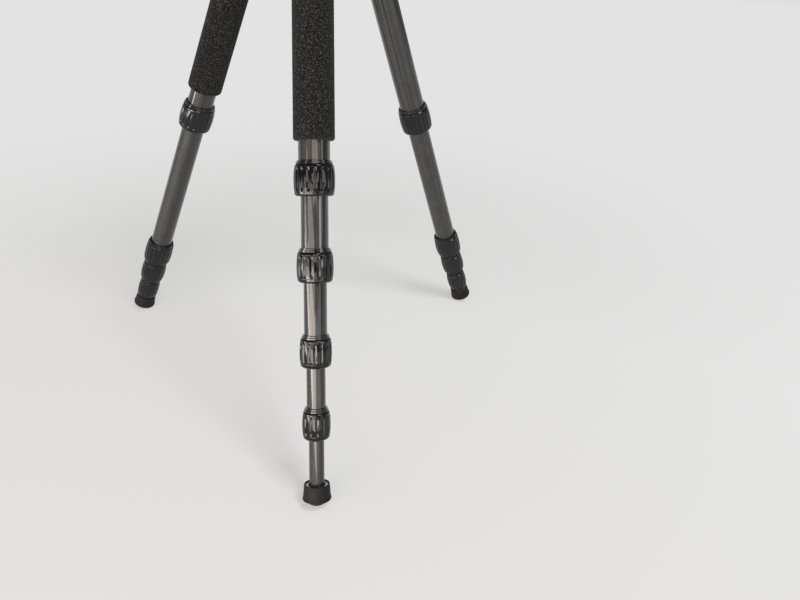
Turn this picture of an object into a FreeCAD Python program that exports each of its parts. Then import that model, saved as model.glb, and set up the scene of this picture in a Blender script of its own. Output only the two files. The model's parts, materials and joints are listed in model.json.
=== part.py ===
import FreeCAD, Part
import Sketcher
import math
import os

# Travel tripod with three five-section legs, twist locks, foam grips on two legs,
# a cast spider and a short centre column with a camera stud.
# The origin is the middle of the camera seat, on the column's axis, and +Z points up.
# The front leg leans towards -Y. The other two stand 120 degrees to each side of it.

DRIVING_SIZES = [
    # stance
    ("leg_angle", 21.0),
    ("pivot_radius", 41.0),
    # nested leg tubes
    ("tube_1_diameter", 28.0),
    ("tube_wall", 1.2),
    ("sleeve_gap_2", 0.7),
    ("sleeve_gap_3", 0.7),
    ("sleeve_gap_4", 0.6),
    ("sleeve_gap_5", 0.45),
    ("tube_1_start", 27.0),
    ("nesting_step", 4.0),
    ("tube_seat", 10.0),
    ("lock_1_distance", 268.0),
    ("stack_gap", 1.0),
    # how far each section of the front leg is drawn out
    ("front_draw_2", 44.0),
    ("front_draw_3", 45.0),
    ("front_draw_4", 35.0),
    ("front_draw_5", 39.5),
    # small draws of the right leg's lower sections
    ("right_draw_3", 1.5),
    ("right_draw_4", 2.0),
    ("right_draw_5", 2.0),
    # clearances
    ("running_clearance", 0.05),
    ("thread_clearance", 0.08),
    ("face_gap", 0.2),
    ("cutter_margin", 1.0),
    # twist locks
    ("lock_height_1", 31.0),
    ("lock_height_2", 30.0),
    ("lock_height_3", 28.5),
    ("lock_height_4", 27.7),
    ("lock_build", 4.05),
    ("lock_shoulder_build", 3.2),
    ("thread_build", 1.6),
    ("flange_step", 1.6),
    ("flange_upper_build", 1.4),
    ("flange_lower_build", 2.4),
    ("collet_length", 12.0),
    ("collet_slit", 2.0),
    ("collet_seat_step", 0.3),
    ("top_chamfer", 0.8),
    ("bottom_chamfer", 1.4),
    ("flute_count_1", 18.0),
    ("flute_count_2", 16.0),
    ("flute_count_3", 16.0),
    ("flute_count_4", 14.0),
    ("flute_phase_1", 0.8),
    ("flute_phase_2", 9.2),
    ("flute_phase_3", -4.5),
    ("flute_phase_4", 0.9),
    ("flute_share", 0.62),
    ("flute_depth", 1.0),
    ("flute_top_margin", 1.7),
    ("flute_bottom_margin", 2.3),
    # guide shells at the top of each sliding tube
    ("guide_length", 14.0),
    ("guide_inset", 1.5),
    ("guide_slit", 1.5),
    # foam grip
    ("foam_thickness", 4.3),
    ("foam_clearance", 0.05),
    ("foam_start_gap", 2.0),
    ("foam_end_gap", 17.3),
    ("foam_rounding", 2.5),
    # rubber foot and its metal insert
    ("foot_height", 13.6),
    ("foot_wall", 1.0),
    ("foot_lip_build", 1.4),
    ("foot_lip_height", 1.8),
    ("foot_lip_step", 0.35),
    ("foot_cone_slope", 32.0),
    ("foot_tip_inset", 1.7),
    ("foot_tube_depth", 8.0),
    ("insert_ring_gap", 0.9),
    ("insert_ring_wall", 2.6),
    ("insert_drop", 0.9),
    ("insert_floor", 3.0),
    ("insert_spigot", 20.0),
    # leg top casting
    ("cheek_inset", 2.0),
    ("cheek_side_build", 0.2),
    ("yoke_web_start", 13.0),
    ("yoke_block_end", 25.0),
    ("yoke_end", 52.0),
    ("socket_wall", 2.6),
    ("socket_chamfer", 2.0),
    ("lug_width", 16.0),
    # angle stop
    ("cam_radius", 12.0),
    ("boss_radius", 9.2),
    ("cam_end_angle", 150.0),
    ("second_stop_angle", 52.0),
    ("third_stop_angle", 83.0),
    ("stop_thickness", 3.6),
    ("stop_width", 8.0),
    ("stop_play", 0.6),
    ("stop_travel", 3.2),
    ("stop_stem_start", 20.0),
    ("stop_stem_thickness", 3.0),
    ("stop_pad_thickness", 3.2),
    ("stop_pad_width", 12.0),
    ("stop_pad_height", 6.0),
    ("stop_groove", 0.6),
    # pivot bolt
    ("bolt_radius", 4.0),
    ("bolt_head_radius", 6.5),
    ("bolt_head_height", 3.0),
    ("bolt_socket_size", 2.9),
    ("bolt_socket_depth", 2.0),
    ("bolt_chamfer", 0.6),
    # spider
    ("hub_radius", 23.0),
    ("hub_below", 13.0),
    ("hub_above", 15.0),
    ("hub_chamfer", 1.5),
    ("lug_root", 18.0),
    ("neck_radius", 17.5),
    ("neck_height", 17.0),
    ("bush_radius", 15.4),
    ("bush_seat_depth", 4.0),
    ("bush_stand", 0.8),
    ("bush_slit", 2.0),
    # centre column and its twist lock
    ("column_radius", 12.5),
    ("column_wall", 1.5),
    ("column_length", 190.0),
    ("column_ring_height", 24.0),
    ("column_ring_build", 4.4),
    ("column_ring_shoulder", 3.5),
    ("column_ring_lip", 0.4),
    ("column_ring_relief", 1.4),
    ("column_flutes", 20.0),
    ("column_flute_phase", 0.0),
    # camera plate, stud and ballast hook
    ("plate_radius", 21.0),
    ("plate_thickness", 7.0),
    ("plate_chamfer", 1.0),
    ("plate_groove_radius", 15.0),
    ("plate_groove_width", 1.2),
    ("plate_groove_depth", 0.5),
    ("spigot_length", 15.0),
    ("stud_radius", 4.7625),
    ("stud_length", 11.0),
    ("stud_root", 20.0),
    ("stud_root_radius", 4.0),
    ("stud_relief_radius", 5.3),
    ("stud_relief_depth", 0.5),
    ("stud_chamfer", 0.9),
    ("hook_flange_radius", 14.5),
    ("hook_flange_height", 4.0),
    ("hook_stem_radius", 3.0),
    ("hook_stem_length", 5.0),
    ("hook_loop_radius", 7.0),
    ("hook_wire_radius", 2.0),
    ("hook_sweep", 290.0),
]

LEGS = [("front", -90.0), ("right", 30.0), ("left", 150.0)]
FOAM_LEGS = ("front", "left")
SECTIONS = (1, 2, 3, 4, 5)
LOCKS = (1, 2, 3, 4)

doc = FreeCAD.newDocument("travel_tripod")
sheet = doc.addObject("Spreadsheet::Sheet", "Sizes")
for row, (alias, number) in enumerate(DRIVING_SIZES, start=1):
    sheet.set("A%d" % row, alias)
    sheet.set("B%d" % row, str(number))
    sheet.setAlias("B%d" % row, alias)
doc.recompute()

V = FreeCAD.Vector
nodes = []


def size(alias):
    """Name of a driving size inside an expression."""
    return "Sizes.%s" % alias


def value(expression):
    """Present value of an expression, as a plain number."""
    found = sheet.evalExpression(expression)
    return float(getattr(found, "Value", found))


def at(x="0", y="0", z="0", yaw="0", pitch="0", roll="0"):
    """Expression for a place: a shift and three turns in degrees."""
    shift = "create(<<vector>>; %s; %s; %s)" % (x, y, z)
    turn = "create(<<rotation>>; %s; %s; %s)" % (yaw, pitch, roll)
    return "create(<<placement>>; %s; %s)" % (shift, turn)


def primitive(kind, name, place=None, **bound):
    """Part primitive whose sizes and place follow the sheet."""
    made = doc.addObject("Part::" + kind, name)
    for key, expression in bound.items():
        made.setExpression(key, expression)
    if place:
        made.setExpression("Placement", place)
    return made


def fused(name, *pieces):
    made = doc.addObject("Part::MultiFuse", name)
    made.Shapes = list(pieces)
    made.Refine = True
    return made


def grouped(name, *pieces, place=None):
    """Several separate shapes, or one placed copy of a shape."""
    made = doc.addObject("Part::Compound", name)
    made.Links = list(pieces)
    if place:
        made.setExpression("Placement", place)
    return made


def cut(name, base, *tools):
    made = doc.addObject("Part::Cut", name)
    made.Base = base
    made.Tool = tools[0] if len(tools) == 1 else grouped(name + "_tools", *tools)
    return made


def node(name, *pieces, place=None):
    """Named sub-part of the tripod, written to its own file."""
    made = grouped(name, *pieces, place=place)
    made.Label = name
    nodes.append(made)
    return made


def origin_plane(body, role):
    return [feature for feature in body.Origin.OriginFeatures if feature.Role == role][0]


def turned(name, outline):
    """Lathe-turned body about Z. A point is (radius, height), and a third entry is
    the radius of the arc, bulging outward, that leads from it to the next point."""
    body = doc.addObject("PartDesign::Body", name)
    sketch = body.newObject("Sketcher::SketchObject", name + "_outline")
    sketch.AttachmentSupport = [(origin_plane(body, "XZ_Plane"), "")]
    sketch.MapMode = "FlatFace"
    points = [V(value(entry[0]), value(entry[1]), 0) for entry in outline]
    starts = []
    for index, entry in enumerate(outline):
        first = points[index]
        last = points[(index + 1) % len(points)]
        sketch.addGeometry(arc_edge(first, last, value(entry[2])) if len(entry) == 3
                           else Part.LineSegment(first, last))
        forward = (sketch.getPoint(index, 1) - first).Length < (sketch.getPoint(index, 2) - first).Length
        starts.append(1 if forward else 2)
    for index, entry in enumerate(outline):
        following = (index + 1) % len(points)
        constrain(sketch, "Coincident", None, index, 3 - starts[index], following, starts[following])
        constrain(sketch, "DistanceX", entry[0], -1, 1, index, starts[index])
        constrain(sketch, "DistanceY", entry[1], -1, 1, index, starts[index])
        if len(entry) == 3:
            constrain(sketch, "Radius", entry[2], index)
    feature = body.newObject("PartDesign::Revolution", name + "_turned")
    feature.Profile = sketch
    feature.ReferenceAxis = (sketch, ["V_Axis"])
    feature.Angle = 360.0
    body.Tip = feature
    return body


def arc_edge(first, last, radius):
    """Arc between two points of an outline, bulging away from the axis."""
    along = last - first
    side = V(abs(along.y), -along.x if along.y >= 0 else along.x, 0).normalize()
    rise = radius - math.sqrt(radius * radius - along.Length ** 2 / 4)
    return Part.Arc(first, (first + last) * 0.5 + side * rise, last)


def constrain(sketch, kind, expression, *where):
    """Add one constraint and bind its number to an expression."""
    numbers = [] if expression is None else [value(expression)]
    place = sketch.addConstraint(Sketcher.Constraint(kind, *where, *numbers))
    if expression is not None:
        sketch.setExpression("Constraints[%d]" % place, expression)


def ring(name, inner, outer, top, bottom):
    """Plain turned sleeve between two radii and two heights."""
    return turned(name, [(inner, top), (outer, top), (outer, bottom), (inner, bottom)])


def flute_cutter(name, barrel_radius, bulge_radius, middle, half_length, count, phase):
    """Round-ended cutter that follows the barrel's own curve, copied all round."""
    width = "(%s * 2 * pi * (%s) / %s)" % (size("flute_share"), barrel_radius, count)
    depth = size("flute_depth")
    tool_radius = "((%s ^ 2 / 4 + %s ^ 2) / (2 * %s))" % (width, depth, depth)
    path_radius = "(%s - %s + %s)" % (bulge_radius, depth, tool_radius)
    centre = "((%s) - %s)" % (barrel_radius, bulge_radius)
    half_turn = "(asin((%s - %s / 2) / %s) / 1 deg)" % (half_length, width, path_radius)
    section = primitive("Circle", name + "_section", Radius=tool_radius)
    section.setExpression("Placement", "%s * %s" % (
        at(centre, "0", middle, "0", half_turn), at(path_radius)))
    sweep = doc.addObject("Part::Revolution", name + "_sweep")
    sweep.Source = section
    sweep.Solid = True
    sweep.Axis = V(0, -1, 0)
    sweep.setExpression("Base.x", centre)
    sweep.setExpression("Base.z", middle)
    sweep.setExpression("Angle", "2 * " + half_turn)
    ends = []
    for sign in ("", "-"):
        turn = at(centre, "0", middle, "0", sign + half_turn)
        ends.append(primitive("Sphere", name + "_end", "%s * %s" % (turn, at(path_radius)),
                              Radius=tool_radius))
    one = fused(name + "_one", sweep, *ends)
    copies = []
    for number in range(int(value(count))):
        turn = at(yaw="%d * 360 / %s + %s" % (number, count, phase))
        copies.append(grouped(name + "_copy", one, place=turn))
    return copies


# How the nested sections lie along a leg, measured from the pivot with every tube pushed in.

def tube_radius(section):
    """Outer radius of a section's tube."""
    radius = size("tube_1_diameter") + " / 2"
    for step in range(2, section + 1):
        radius += " - %s - %s" % (size("tube_wall"), size("sleeve_gap_%d" % step))
    return "(%s)" % radius


def tube_bore(section):
    return "(%s - %s)" % (tube_radius(section), size("tube_wall"))


def lock_top(lock):
    """Distance from the pivot to a twist lock, or to the foot, which comes fifth."""
    distance = size("lock_1_distance")
    for above in range(1, lock):
        distance += " + %s + %s" % (size("lock_height_%d" % above), size("stack_gap"))
    return "(%s)" % distance


def tube_top(section):
    return "(%s + %d * %s)" % (size("tube_1_start"), section - 1, size("nesting_step"))


def tube_bottom(section):
    seat = size("tube_seat") if section < 5 else size("foot_tube_depth")
    return "(%s + %s)" % (lock_top(section), seat)


def draw(leg, section):
    """How far a section is carried down its leg. The front leg is drawn out section by section,
    the others mainly at their second section. All three feet are carried the same way down."""
    if section == 1:
        return "0"
    last = section if leg == "front" else 5
    carried = " + ".join(size("front_draw_%d" % step) for step in range(2, last + 1))
    if leg == "right":
        for step in range(section + 1, 6):
            carried += " - " + size("right_draw_%d" % step)
    return "(%s)" % carried


# Foot geometry: a cup around the metal insert, a lip, and a cone that runs into a ball-shaped tip.

INSERT_RADIUS = "(%s + %s + %s)" % (tube_radius(5), size("insert_ring_gap"), size("insert_ring_wall"))
FOOT_BORE = "(%s + %s)" % (INSERT_RADIUS, size("running_clearance"))
FOOT_TOP_RADIUS = "(%s + %s)" % (FOOT_BORE, size("foot_wall"))
FOOT_LIP_RADIUS = "(%s + %s)" % (FOOT_TOP_RADIUS, size("foot_lip_build"))
FOOT_LIP = "(%s + %s)" % (lock_top(5), size("foot_height"))
TIP_RADIUS = "(%s - %s)" % (FOOT_LIP_RADIUS, size("foot_tip_inset"))
TIP_SIDE = "(%s * sin(%s * 1 deg))" % (TIP_RADIUS, size("foot_cone_slope"))
TIP_RISE = "(%s * cos(%s * 1 deg))" % (TIP_RADIUS, size("foot_cone_slope"))
CONE_DEPTH = "((%s - %s) * tan(%s * 1 deg))" % (FOOT_LIP_RADIUS, TIP_SIDE, size("foot_cone_slope"))
TIP_CENTRE = "(%s + %s - %s)" % (FOOT_LIP, CONE_DEPTH, TIP_RISE)


def down(distance):
    """Height of a point that lies a distance down the leg from its pivot."""
    return "-(%s)" % distance


def make_tube(section):
    return ring("tube_%d_shape" % section, tube_bore(section), tube_radius(section),
                down(tube_top(section)), down(tube_bottom(section)))


def slit(name, width, radius, top, bottom):
    """Thin box that splits a sleeve from its axis outward."""
    return primitive("Box", name, at("0", "-%s / 2" % width, bottom),
                     Length="%s + %s" % (radius, size("cutter_margin")), Width=width,
                     Height="(%s) - (%s)" % (top, bottom))


def make_collet(lock):
    """Split collet that grips the next tube, seated under the end of this one."""
    top = down("%s + %s + %s" % (lock_top(lock), size("tube_seat"), size("face_gap")))
    bottom = "(%s - %s)" % (top, size("collet_length"))
    outer = "(%s - %s - %s)" % (tube_radius(lock), size("collet_seat_step"), size("running_clearance"))
    inner = "(%s + %s)" % (tube_radius(lock + 1), size("running_clearance"))
    sleeve = ring("collet_%d_sleeve" % lock, inner, outer, top, bottom)
    split = slit("collet_%d_split" % lock, size("collet_slit"), outer, top, bottom)
    return cut("collet_%d_shape" % lock, sleeve, split)


def ferrule_end(lock):
    """Distance from the pivot to the lower end of a lock's threaded ferrule."""
    return "(%s + %s + %s)" % (lock_top(lock), size("tube_seat"), size("collet_length"))


def make_ferrule(lock):
    """Threaded ferrule bonded over the tube, with a stepped flange above the ring."""
    radius = tube_radius(lock)
    bonded = "(%s + %s)" % (radius, size("running_clearance"))
    seat = "(%s - %s)" % (radius, size("collet_seat_step"))
    upper = "(%s + %s)" % (radius, size("flange_upper_build"))
    lower = "(%s + %s)" % (radius, size("flange_lower_build"))
    thread = "(%s + %s)" % (radius, size("thread_build"))
    top = down(lock_top(lock))
    step = "(%s - %s)" % (top, size("flange_step"))
    foot = "(%s - %s)" % (step, size("flange_step"))
    tube_end = down(tube_bottom(lock))
    end = down(ferrule_end(lock))
    return turned("ferrule_%d_shape" % lock, [
        (bonded, top), (upper, top), (upper, step), (lower, step), (lower, foot),
        (thread, foot), (thread, end), (seat, end), (seat, tube_end), (bonded, tube_end)])


def make_guides(section):
    """Two half shells near the top of a sliding tube, which centre it in the tube above."""
    top = "(%s - %s)" % (down(tube_top(section)), size("guide_inset"))
    bottom = "(%s - %s)" % (top, size("guide_length"))
    inner = "(%s + %s)" % (tube_radius(section), size("running_clearance"))
    outer = "(%s - %s)" % (tube_bore(section - 1), size("running_clearance"))
    sleeve = ring("guide_%d_sleeve" % section, inner, outer, top, bottom)
    width = size("guide_slit")
    reach = "(%s + %s)" % (outer, size("cutter_margin"))
    split = primitive("Box", "guide_%d_split" % section, at("-" + reach, "-%s / 2" % width, bottom),
                      Length="2 * " + reach, Width=width, Height="(%s) - (%s)" % (top, bottom))
    return cut("guide_%d_shape" % section, sleeve, split)


def barrel(name, top, bottom, shoulder, bulge, bore, bore_end, lip, flutes, phase):
    """Barrel-shaped twist ring: hollow over its thread, with a lip that meets the tube."""
    upper = "(%s - %s)" % (top, size("top_chamfer"))
    lower = "(%s + %s)" % (bottom, size("bottom_chamfer"))
    half = "((%s - %s) / 2)" % (upper, lower)
    rise = "(%s - %s)" % (bulge, shoulder)
    curve = "((%s ^ 2 + %s ^ 2) / (2 * %s))" % (half, rise, rise)
    body = turned(name + "_barrel", [
        (bore, top), ("%s - %s" % (shoulder, size("top_chamfer")), top),
        (shoulder, upper, curve), (shoulder, lower),
        ("%s - %s" % (shoulder, size("bottom_chamfer")), bottom),
        (lip, bottom), (lip, bore_end), (bore, bore_end)])
    middle = "((%s + %s) / 2)" % (upper, lower)
    flute_top = "(%s - %s)" % (upper, size("flute_top_margin"))
    flute_bottom = "(%s + %s)" % (lower, size("flute_bottom_margin"))
    half_flute = "((%s - %s) / 2)" % (flute_top, flute_bottom)
    cutters = flute_cutter(name + "_flute", bulge, curve, middle, half_flute, flutes, phase)
    return cut(name, body, *cutters)


def make_lock_ring(lock):
    radius = tube_radius(lock)
    top = down("%s + 2 * %s + %s" % (lock_top(lock), size("flange_step"), size("face_gap")))
    bottom = down("%s + %s" % (lock_top(lock), size("lock_height_%d" % lock)))
    shoulder = "(%s + %s)" % (radius, size("lock_shoulder_build"))
    bulge = "(%s + %s)" % (radius, size("lock_build"))
    bore = "(%s + %s + %s)" % (radius, size("thread_build"), size("thread_clearance"))
    bore_end = down("%s + 2 * %s" % (ferrule_end(lock), size("face_gap")))
    lip = "(%s + 2 * %s)" % (tube_radius(lock + 1), size("face_gap"))
    return barrel("lock_ring_%d_shape" % lock, top, bottom, shoulder, bulge, bore, bore_end,
                  lip, size("flute_count_%d" % lock), size("flute_phase_%d" % lock))


def make_foot():
    """Rubber foot: a flared cup with a lip, a cone under it and a round tip."""
    top = down(lock_top(5))
    lip = down(FOOT_LIP)
    lip_top = "(%s + %s)" % (lip, size("foot_lip_height"))
    floor = down("%s + %s + %s" % (tube_bottom(5), size("insert_floor"), size("running_clearance")))
    inner_lip = "(%s - %s)" % (FOOT_LIP_RADIUS, size("foot_lip_step"))
    cone_end = down("%s + %s" % (FOOT_LIP, CONE_DEPTH))
    return turned("foot_shape", [
        (FOOT_BORE, top), (FOOT_TOP_RADIUS, top), (inner_lip, lip_top), (FOOT_LIP_RADIUS, lip_top),
        (FOOT_LIP_RADIUS, lip), (TIP_SIDE, cone_end, TIP_RADIUS),
        ("0", down("%s + %s" % (TIP_CENTRE, TIP_RADIUS))), ("0", floor), (FOOT_BORE, floor)])


def make_foot_insert():
    """Metal insert: a plug inside the tube, a floor under it and the ring around it."""
    ring_top = down("%s + %s" % (lock_top(5), size("insert_drop")))
    ring_bore = "(%s + %s)" % (tube_radius(5), size("insert_ring_gap"))
    tube_end = down("%s + %s" % (tube_bottom(5), size("running_clearance")))
    floor = "(%s - %s)" % (tube_end, size("insert_floor"))
    plug = "(%s - %s)" % (tube_bore(5), size("running_clearance"))
    plug_top = "(%s + %s)" % (tube_end, size("insert_spigot"))
    return turned("foot_insert_shape", [
        ("0", plug_top), (plug, plug_top), (plug, tube_end), (ring_bore, tube_end),
        (ring_bore, ring_top), (INSERT_RADIUS, ring_top), (INSERT_RADIUS, floor), ("0", floor)])


def make_foam():
    """Foam grip sleeve on the first tube, rounded at both outer edges."""
    inner = "(%s + %s)" % (tube_radius(1), size("foam_clearance"))
    outer = "(%s + %s)" % (inner, size("foam_thickness"))
    round_off = size("foam_rounding")
    shoulder = "(%s - %s)" % (outer, round_off)
    top = down("%s + %s" % (size("yoke_end"), size("foam_start_gap")))
    bottom = down("%s - %s" % (size("lock_1_distance"), size("foam_end_gap")))
    return turned("foam_shape", [
        (inner, top), (shoulder, top, round_off), (outer, "%s - %s" % (top, round_off)),
        (outer, "%s + %s" % (bottom, round_off), round_off), (shoulder, bottom), (inner, bottom)])


def cheek_radius():
    return "(%s - %s)" % (tube_radius(1), size("cheek_inset"))


def yoke_width():
    return "(2 * %s + 2 * %s)" % (tube_radius(1), size("cheek_side_build"))


def make_yoke():
    """Leg-top casting: two cheeks around the pivot, a web with the stop's slot, and a socket."""
    radius = cheek_radius()
    width = yoke_width()
    across = at("0", "%s / 2" % width, "0", "0", "0", "90")
    block = primitive("Box", "yoke_block",
                      at("-" + radius, "-%s / 2" % width, down(size("yoke_block_end"))),
                      Length="2 * " + radius, Width=width, Height=size("yoke_block_end"))
    cheeks = primitive("Cylinder", "yoke_cheeks", across, Radius=radius, Height=width)
    socket_radius = "(%s + %s)" % (tube_radius(1), size("socket_wall"))
    chamfer = size("socket_chamfer")
    bore = "(%s + %s)" % (tube_radius(1), size("running_clearance"))
    block_end = down(size("yoke_block_end"))
    socket_end = down(size("yoke_end"))
    socket = turned("yoke_socket", [
        ("0", block_end), ("%s - %s" % (socket_radius, chamfer), block_end),
        (socket_radius, "%s - %s" % (block_end, chamfer)),
        (socket_radius, "%s + %s / 2" % (socket_end, chamfer)),
        ("%s - %s / 2" % (socket_radius, chamfer), socket_end),
        (bore, socket_end), (bore, down(size("tube_1_start"))), ("0", down(size("tube_1_start")))])
    reach = "(%s + %s)" % (radius, size("cutter_margin"))
    gap_width = "(%s + 2 * %s)" % (size("lug_width"), size("face_gap"))
    gap = primitive("Box", "yoke_gap", at("-" + reach, "-%s / 2" % gap_width, down(size("yoke_web_start"))),
                    Length="2 * " + reach, Width=gap_width, Height="%s + %s" % (size("yoke_web_start"), reach))
    pin_hole = primitive("Cylinder", "yoke_pin_hole", across,
                         Radius="%s + %s" % (size("bolt_radius"), size("running_clearance")), Height=width)
    play = size("running_clearance")
    slot_depth = "(%s + %s + %s)" % (size("stop_stem_start"), size("stop_stem_thickness"), size("face_gap"))
    slot_half = "(%s / 2 + %s)" % (size("stop_thickness"), play)
    slot_width = "(%s + 2 * %s)" % (size("stop_width"), play)
    slot = primitive("Box", "yoke_slot", at("-" + slot_half, "-%s / 2" % slot_width, down(slot_depth)),
                     Length="2 * " + slot_half, Width=slot_width, Height=slot_depth)
    window_top = "(%s - %s - %s)" % (size("stop_stem_start"), size("stop_travel"), size("face_gap"))
    window = primitive("Box", "yoke_window", at("0", "-%s / 2" % slot_width, down(slot_depth)),
                       Length=reach, Width=slot_width, Height="%s - %s" % (slot_depth, window_top))
    return cut("yoke_shape", fused("yoke_solid", block, cheeks, socket), gap, pin_hole, slot, window)


def make_angle_stop():
    """Sliding angle stop: a bar towards the cam, a stem through the window and a thumb pad."""
    half = "(%s / 2)" % size("stop_thickness")
    tip = "(%s + %s)" % (size("cam_radius"), size("stop_play"))
    stem_start = size("stop_stem_start")
    stem_end = "(%s + %s)" % (stem_start, size("stop_stem_thickness"))
    pad_start = "(%s + %s)" % (cheek_radius(), size("face_gap"))
    bar = primitive("Box", "stop_bar", at("-" + half, "-%s / 2" % size("stop_width"), down(stem_end)),
                    Length="2 * " + half, Width=size("stop_width"), Height="%s - %s" % (stem_end, tip))
    stem = primitive("Box", "stop_stem", at("0", "-%s / 2" % size("stop_width"), down(stem_end)),
                     Length="%s + %s / 2" % (pad_start, size("stop_pad_thickness")),
                     Width=size("stop_width"), Height=size("stop_stem_thickness"))
    pad_height = size("stop_pad_height")
    pad_bottom = "((%s + %s) / 2 + %s / 2)" % (stem_start, stem_end, pad_height)
    pad = primitive("Box", "stop_pad", at(pad_start, "-%s / 2" % size("stop_pad_width"), down(pad_bottom)),
                    Length=size("stop_pad_thickness"), Width=size("stop_pad_width"), Height=pad_height)
    grooves = []
    for number in (1, 2, 3):
        level = "%s - %d * %s / 4" % (pad_bottom, number, pad_height)
        place = at("%s + %s" % (pad_start, size("stop_pad_thickness")),
                   "-%s / 2" % size("stop_pad_width"), down(level), "0", "0", "-90")
        grooves.append(primitive("Cylinder", "stop_pad_groove", place, Radius=size("stop_groove"),
                                 Height=size("stop_pad_width")))
    return cut("angle_stop_shape", fused("angle_stop_solid", bar, stem, pad), *grooves)


def make_pivot_bolt():
    """Pivot bolt along Z: round head with a hexagon socket, shank through, and a round nut."""
    half = "(%s / 2)" % yoke_width()
    face = "(%s + %s)" % (half, size("face_gap"))
    end = "(%s + %s)" % (face, size("bolt_head_height"))
    edge = "(%s - %s)" % (end, size("bolt_chamfer"))
    head = size("bolt_head_radius")
    shank = size("bolt_radius")
    small = "%s - %s" % (head, size("bolt_chamfer"))
    bolt = turned("pivot_bolt_turned", [
        ("0", end), (small, end), (head, edge), (head, face), (shank, face),
        (shank, "-" + face), (head, "-" + face), (head, "-" + edge), (small, "-" + end), ("0", "-" + end)])
    socket = primitive("Prism", "pivot_bolt_socket", at(z="%s - %s" % (end, size("bolt_socket_depth"))),
                       Circumradius=size("bolt_socket_size"), Height=size("bolt_socket_depth"))
    socket.Polygon = 6
    return cut("pivot_bolt_shape", bolt, socket)


def make_lug():
    """Lug of the spider: a neck to the pivot, a boss, and the cam with its stop notches."""
    half_width = "(%s / 2)" % size("lug_width")
    boss = size("boss_radius")
    pivot = size("pivot_radius")
    neck = primitive("Box", "lug_neck", at(size("lug_root"), "-" + half_width, "-" + boss),
                     Length="%s - %s" % (pivot, size("lug_root")), Width=size("lug_width"), Height="2 * " + boss)
    across = at(pivot, half_width, "0", "0", "0", "90")
    knuckle = primitive("Cylinder", "lug_boss", across, Radius=boss, Height=size("lug_width"))
    cam_turn = at(pivot, half_width, "0", "0", "90 - %s" % size("leg_angle"), "90")
    cam = primitive("Cylinder", "lug_cam", cam_turn, Radius=size("cam_radius"), Height=size("lug_width"),
                    Angle="%s - %s" % (size("cam_end_angle"), size("leg_angle")))
    pin_hole = primitive("Cylinder", "lug_pin_hole", across, Height=size("lug_width"),
                         Radius="%s + %s" % (size("bolt_radius"), size("running_clearance")))
    notch_half = "(%s / 2 + %s)" % (size("stop_thickness"), size("face_gap"))
    side = "(%s + %s)" % (half_width, size("cutter_margin"))
    rim = "(%s + %s)" % (size("cam_radius"), size("cutter_margin"))
    notches = []
    for angle in (size("leg_angle"), size("second_stop_angle"), size("third_stop_angle")):
        turn = at(pivot, "0", "0", "0", "-" + angle)
        corner = at("-" + notch_half, "-" + side, "-" + rim)
        notches.append(primitive("Box", "lug_notch", "%s * %s" % (turn, corner), Length="2 * " + notch_half,
                                 Width="2 * " + side, Height="%s - %s" % (rim, boss)))
    return cut("lug_shape", fused("lug_solid", neck, knuckle, cam), pin_hole, *notches)


def column_bore():
    return "(%s + %s)" % (size("column_radius"), size("running_clearance"))


def bush_seat_height():
    return "(%s - %s)" % (size("hub_above"), size("bush_seat_depth"))


def neck_top():
    return "(%s + %s)" % (size("hub_above"), size("neck_height"))


def make_spider():
    """Cast spider, in the plane of the pivots: hub, threaded neck and three lugs."""
    hub = size("hub_radius")
    chamfer = size("hub_chamfer")
    bush = "(%s + %s)" % (size("bush_radius"), size("running_clearance"))
    core = turned("spider_hub", [
        (column_bore(), "-" + size("hub_below")), ("%s - %s" % (hub, chamfer), "-" + size("hub_below")),
        (hub, "-%s + %s" % (size("hub_below"), chamfer)), (hub, "%s - %s" % (size("hub_above"), chamfer)),
        ("%s - %s" % (hub, chamfer), size("hub_above")), (size("neck_radius"), size("hub_above")),
        (size("neck_radius"), neck_top()), (bush, neck_top()), (bush, bush_seat_height()),
        (column_bore(), bush_seat_height())])
    lug = make_lug()
    lugs = [grouped("lug_" + leg, lug, place=at(yaw=str(azimuth))) for leg, azimuth in LEGS]
    return fused("spider_shape", core, *lugs)


def ring_base():
    """Height of the column ring's lower face above the pivots."""
    return "(%s + %s)" % (size("hub_above"), size("face_gap"))


def make_column_lock():
    """Twist ring around the spider's neck, with the split collet that it squeezes."""
    base = ring_base()
    top = "(%s + %s)" % (base, size("column_ring_height"))
    outer = "(%s + %s)" % (size("neck_radius"), size("column_ring_shoulder"))
    bulge = "(%s + %s)" % (size("neck_radius"), size("column_ring_build"))
    bore = "(%s + %s)" % (size("neck_radius"), size("thread_clearance"))
    bore_end = "(%s + %s)" % (neck_top(), size("column_ring_relief"))
    lip = "(%s + %s)" % (size("column_radius"), size("column_ring_lip"))
    shape = barrel("column_ring_shape", down(base), down(top), outer, bulge, bore, down(bore_end),
                   lip, size("column_flutes"), size("column_flute_phase"))
    upright = grouped("column_ring_upright", shape, place=at(roll="180"))
    seat = "(%s + %s)" % (bush_seat_height(), size("face_gap"))
    bush_top = "(%s + %s)" % (neck_top(), size("bush_stand"))
    sleeve = ring("column_bush_sleeve", column_bore(), size("bush_radius"), bush_top, seat)
    split = slit("column_bush_split", size("bush_slit"), size("bush_radius"), bush_top, seat)
    return [upright, cut("column_bush_shape", sleeve, split)]


def pivot_height():
    """Height of the leg pivots, found from what is stacked under the camera seat."""
    return "-(%s + %s + %s + %s)" % (size("plate_thickness"), size("face_gap"),
                                     size("column_ring_height"), ring_base())


def make_column_tube():
    top = down(size("plate_thickness"))
    return ring("column_tube_shape", column_inner(), size("column_radius"), top,
                "(%s - %s)" % (top, size("column_length")))


def column_inner():
    return "(%s - %s)" % (size("column_radius"), size("column_wall"))


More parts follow.
